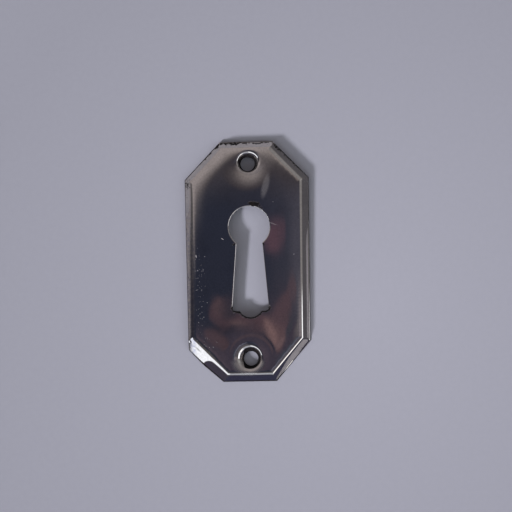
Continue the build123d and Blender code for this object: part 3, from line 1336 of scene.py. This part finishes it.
# Soft lights round the stage: azimuth, half width, elevation, half height and softness in degrees
BACK_WALL = (119, 49, 40, 60, 2.5)
WINDOWS = {
    "west": ((187, 13, 45, 25, 4), (0.045, 0.045, 0.065)),
    "upper right": ((34, 38, 42, 26, 5), (0.30, 0.30, 0.33)),
    "low west": ((180, 22, 4, 8, 5), (0.31, 0.30, 0.345)),
    "left": ((227, 35, 34, 12, 2.5), (1.45, 1.58, 1.85)),
    "front": ((283, 20, 30, 15, 3), (0.55, 0.60, 0.74)),
    "front corner": ((318, 18, 30, 14, 3), (1.10, 1.20, 1.42)),
    "right": ((-13.3, 14.6, 28, 10, 0.8), (1.9, 2.02, 2.3)),
    "back right": ((18.5, 7.5, 34, 18, 2), (0.45, 0.46, 0.5)),
    "front right": ((-44, 7, 28, 8, 2), (2.0, 2.0, 2.1)),
    "low left": ((225, 22, 11, 9, 2), (0.07, 0.066, 0.105)),
}

# Soft fields overhead that the face mirrors: middle and half sizes as parts of the ray, turn in
# degrees, softness and colour
FIELDS = {
    "mauve": ((-0.048, -0.030), (0.060, 0.040), 0, 0.15, (0.066, 0.059, 0.094)),
    "left brown": ((-0.0865, 0.0122), (0.0150, 0.0095), 0, 0.06, (0.092, 0.064, 0.088)),
    "below the foot": ((-0.067, 0.0065), (0.012, 0.0050), 0, 0.2, (0.100, 0.067, 0.091)),
    "left bar": ((-0.0925, 0.0175), (0.0028, 0.0048), 0, 0.4, (0.130, 0.088, 0.108)),
    "left dark": ((-0.0825, 0.0145), (0.0062, 0.0062), -30, 0.5, (0.048, 0.045, 0.068)),
    "low brown": ((-0.0975, -0.007), (0.0125, 0.0075), 0, 0.2, (0.098, 0.067, 0.088)),
    "dark arc": ((-0.0850, 0.0018), (0.0125, 0.0014), 6, 0.5, (0.036, 0.036, 0.059)),
    "dark arc end": ((-0.0690, 0.0012), (0.0070, 0.0013), -20, 0.5, (0.038, 0.038, 0.062)),
    "orange arc": ((-0.0762, 0.0045), (0.0062, 0.0008), -5, 0.5, (0.200, 0.138, 0.155)),
    "right band": ((-0.0451, 0.0127), (0.0210, 0.0070), 54, 0.15, (0.112, 0.077, 0.104)),
    "right upper": ((-0.0240, 0.0300), (0.0130, 0.0070), 20, 0.4, (0.105, 0.080, 0.110)),
    "right streak": ((-0.0492, -0.006), (0.0165, 0.0062), -62, 0.2, (0.135, 0.092, 0.115)),
    "orange edge": ((-0.0552, -0.0005), (0.0026, 0.0085), 8, 0.3, (0.26, 0.172, 0.190)),
    "orange foot": ((-0.0475, -0.0100), (0.0055, 0.0048), 0, 0.35, (0.19, 0.132, 0.155)),
    "inner brown": ((-0.0670, -0.012), (0.0060, 0.0100), 0, 0.5, (0.095, 0.074, 0.102)),
    "dark streak": ((-0.0582, -0.0080), (0.0100, 0.0025), -77, 0.25, (0.034, 0.036, 0.061)),
    "dark band": ((-0.0375, 0.004), (0.0060, 0.0115), 0, 0.3, (0.062, 0.064, 0.094)),
    "teal": ((-0.005, -0.034), (0.030, 0.014), 0, 0.5, (0.060, 0.086, 0.130)),
    "right light": ((-0.0130, -0.002), (0.0110, 0.0120), 0, 0.6, (0.140, 0.132, 0.158)),
    "above the hole": ((-0.130, -0.050), (0.042, 0.042), 0, 0.6, (0.098, 0.082, 0.120)),
    "blue low": ((-0.099, -0.104), (0.026, 0.024), 0, 0.6, (0.080, 0.083, 0.140)),
    "blue arc": ((-0.0025, -0.082), (0.055, 0.024), 48, 0.7, (0.21, 0.23, 0.33)),
    "mauve patch": ((-0.0520, 0.0655), (0.0085, 0.0110), 0, 0.5, (0.130, 0.080, 0.118)),
}


# Colours of the room round the stage
ROOM = {
    "ceiling left": (0.031, 0.037, 0.066),
    "ceiling right": (0.085, 0.087, 0.128),
    "ceiling haze": (0.064, 0.059, 0.076),
    "ceiling back": (0.31, 0.285, 0.30),
    "glow": (0.29, 0.27, 0.315),
    "walls": (0.155, 0.152, 0.165),
    "low behind": (0.115, 0.115, 0.14),
    "low in front": (0.050, 0.053, 0.106),
    "back wall": (0.405, 0.378, 0.415),
}
# How far the fields' edges wander, as a part of the ray
WANDER = 0.008


def window(maker, ray, shape):
    """Where one soft light is."""
    azimuth, half_width, elevation, half_height, softness = shape
    turned = maker.parts(maker.turned(ray, -azimuth))

    def within(off_middle, half):
        gap = maker.math("ABSOLUTE", off_middle)
        return maker.ramp(gap, math.radians(half - softness), math.radians(half + softness), 1, 0)

    across = within(maker.math("ARCTAN2", turned["Y"], turned["X"]), half_width)
    height = maker.math("ARCSINE", turned["Z"])
    upright = within(maker.minus(height, math.radians(elevation)), half_height)
    return maker.times(across, upright)


def ceiling(maker, ray):
    """What hangs over the face: dim, with soft fields of colour, and a glow low on the right."""
    part = maker.parts(ray)
    across = maker.ramp(part["X"], -0.064, -0.006, smooth=False)
    tone = maker.mix(across, ROOM["ceiling left"], ROOM["ceiling right"])
    tone = maker.mix(maker.ramp(part["Y"], 0.082, 0.125), tone, ROOM["ceiling haze"])
    tone = maker.mix(maker.ramp(part["Y"], 0.114, 0.23), tone, ROOM["ceiling back"])

    moved = maker.vector("MULTIPLY", maker.shake(ray, 70.0, 2.0), (WANDER, WANDER, 0))
    moved = maker.vector("ADD", ray, moved)
    for centre, half, turn, softness, field_tone in FIELDS.values():
        reach = maker.ellipse(moved, centre, half, turn)
        tone = maker.mix(maker.ramp(reach, 1 - softness, 1 + softness, 1, 0), tone, field_tone)

    glow = maker.ramp(part["X"], -0.028, 0.06, smooth=False)
    glow = maker.times(glow, maker.ramp(part["Y"], -0.045, -0.018, 0.15, 1.0))
    glow = maker.times(glow, maker.ramp(part["Y"], 0.05, 0.0))
    return maker.mix(glow, tone, ROOM["glow"])


def studio_world(stage):
    """Soft light all round: dim overhead, a pale wall behind, and soft windows at the sides."""
    world = bpy.data.worlds.new("studio")
    world.use_nodes = True
    bpy.context.scene.world = world
    maker = TreeMaker(world.node_tree)
    ray = maker.node("ShaderNodeTexCoord").outputs["Generated"]
    part = maker.parts(ray)

    # Dim overhead, brighter half way down and dim again near the floor
    fall = maker.math("ARCCOSINE", part["Z"])
    middle = maker.ramp(fall, math.radians(8), math.radians(38))
    sky = maker.mix(middle, ceiling(maker, ray), ROOM["walls"])
    front = maker.ramp(part["Y"], -0.8, -0.2, 1, 0)
    low = maker.ramp(fall, math.radians(70), math.radians(84))
    sky = maker.mix(low, sky, maker.mix(front, ROOM["low behind"], ROOM["low in front"]))

    # Pale wall behind and to the left, and the windows
    behind = maker.ramp(maker.vector("DOT_PRODUCT", ray, (-0.6, 0.8, 0)), 0.12, 0.30)
    sky = maker.mix(maker.times(behind, window(maker, ray, BACK_WALL)), sky, ROOM["back wall"])
    for shape, light in WINDOWS.values():
        sky = maker.mix(window(maker, ray, shape), sky, light)

    seen = maker.node("ShaderNodeLightPath").outputs["Is Camera Ray"]
    background = world.node_tree.nodes["Background"]
    maker.feed(background.inputs["Color"], maker.mix(seen, sky, stage.floor))


# The key lamp's width and distance, and half the floor's width, in metres
KEY_SIZE = 0.36
KEY_DISTANCE = 3.0
FLOOR_HALF = 2.0
KEY_COLOUR = (1.0, 1.0, 1.17)


def key_lamp(stage):
    """One soft key lamp."""
    lamp = bpy.data.lights.new("key", "AREA")
    lamp.shape = "DISK"
    lamp.size = KEY_SIZE
    lamp.energy = stage.key_power
    lamp.color = KEY_COLOUR
    made = new_object("key", lamp)
    level = math.cos(stage.key_elevation)
    across = level * math.cos(stage.key_azimuth)
    along = level * math.sin(stage.key_azimuth)
    way = Vector((across, along, math.sin(stage.key_elevation)))
    made.location = KEY_DISTANCE * way
    made.visible_glossy = False
    made.rotation_mode = "QUATERNION"
    made.rotation_quaternion = way.to_track_quat("Z", "Y")


def photo_camera(stage):
    """The camera over the plate, aimed so that the plate lies in the picture as in the photograph."""
    camera = bpy.data.cameras.new("camera")
    made = new_object("camera", camera)
    eye = Vector((stage.camera_right, -stage.camera_down, stage.camera_height))
    aim = Vector((stage.aim_right, stage.aim_up, 0))
    forward = (aim - eye).normalized()
    top = Vector((math.sin(stage.roll), math.cos(stage.roll), 0))
    right = forward.cross(top).normalized()
    up = right.cross(forward)
    made.matrix_world = Matrix.Translation(eye) @ Matrix((right, up, -forward)).transposed().to_4x4()
    camera.lens = camera.sensor_width * (aim - eye).length / stage.field
    camera.clip_start = 0.01
    bpy.context.scene.camera = made


class SetStage(bpy.types.Operator):
    """Lay the floor, and set the light and the camera"""

    bl_idname = "escutcheon.set_stage"
    bl_label = "Set stage"

    def execute(self, context):
        stage = context.scene.escutcheon_stage
        corners = [(x * FLOOR_HALF, y * FLOOR_HALF, 0) for x, y in ((-1, -1), (1, -1), (1, 1), (-1, 1))]
        mesh = bpy.data.meshes.new("floor")
        mesh.from_pydata(corners, [], [range(len(corners))])
        mesh.materials.append(floor_material(stage))
        new_object("floor", mesh)
        studio_world(stage)
        key_lamp(stage)
        photo_camera(stage)
        context.scene.view_settings.view_transform = "Standard"
        return {"FINISHED"}


class EscutcheonPanel(bpy.types.Panel):
    """Lists the plate's pieces and their sizes"""

    bl_idname = "VIEW3D_PT_escutcheon"
    bl_label = "Keyhole escutcheon"
    bl_space_type = "VIEW_3D"
    bl_region_type = "UI"
    bl_category = "Escutcheon"

    def draw(self, context):
        for operator in OPERATORS:
            self.layout.operator(operator.bl_idname)
        for name in GROUPS:
            box = self.layout.box()
            group = getattr(context.scene, name)
            for field in group.__annotations__:
                box.prop(group, field)


GROUPS = {
    "escutcheon_sizes": PlateSizes,
    "escutcheon_finish": PlatingFinish,
    "escutcheon_stage": StageSettings,
}
OPERATORS = (PressPlate, ScatterScale, LayBurr, SetStage)


def register():
    """Adds the classes and their settings to Blender."""
    for made in (*GROUPS.values(), *OPERATORS, EscutcheonPanel):
        bpy.utils.register_class(made)
    for name, group in GROUPS.items():
        setattr(bpy.types.Scene, name, PointerProperty(type=group))


def unregister():
    """Takes the classes and their settings out again."""
    for name in GROUPS:
        delattr(bpy.types.Scene, name)
    for made in (EscutcheonPanel, *reversed(OPERATORS), *GROUPS.values()):
        bpy.utils.unregister_class(made)


def main():
    """Makes every piece in order."""
    register()
    bpy.ops.escutcheon.press_plate()
    bpy.ops.escutcheon.scatter_scale()
    bpy.ops.escutcheon.lay_burr()
    bpy.ops.escutcheon.set_stage()


if __name__ == "__main__":
    main()
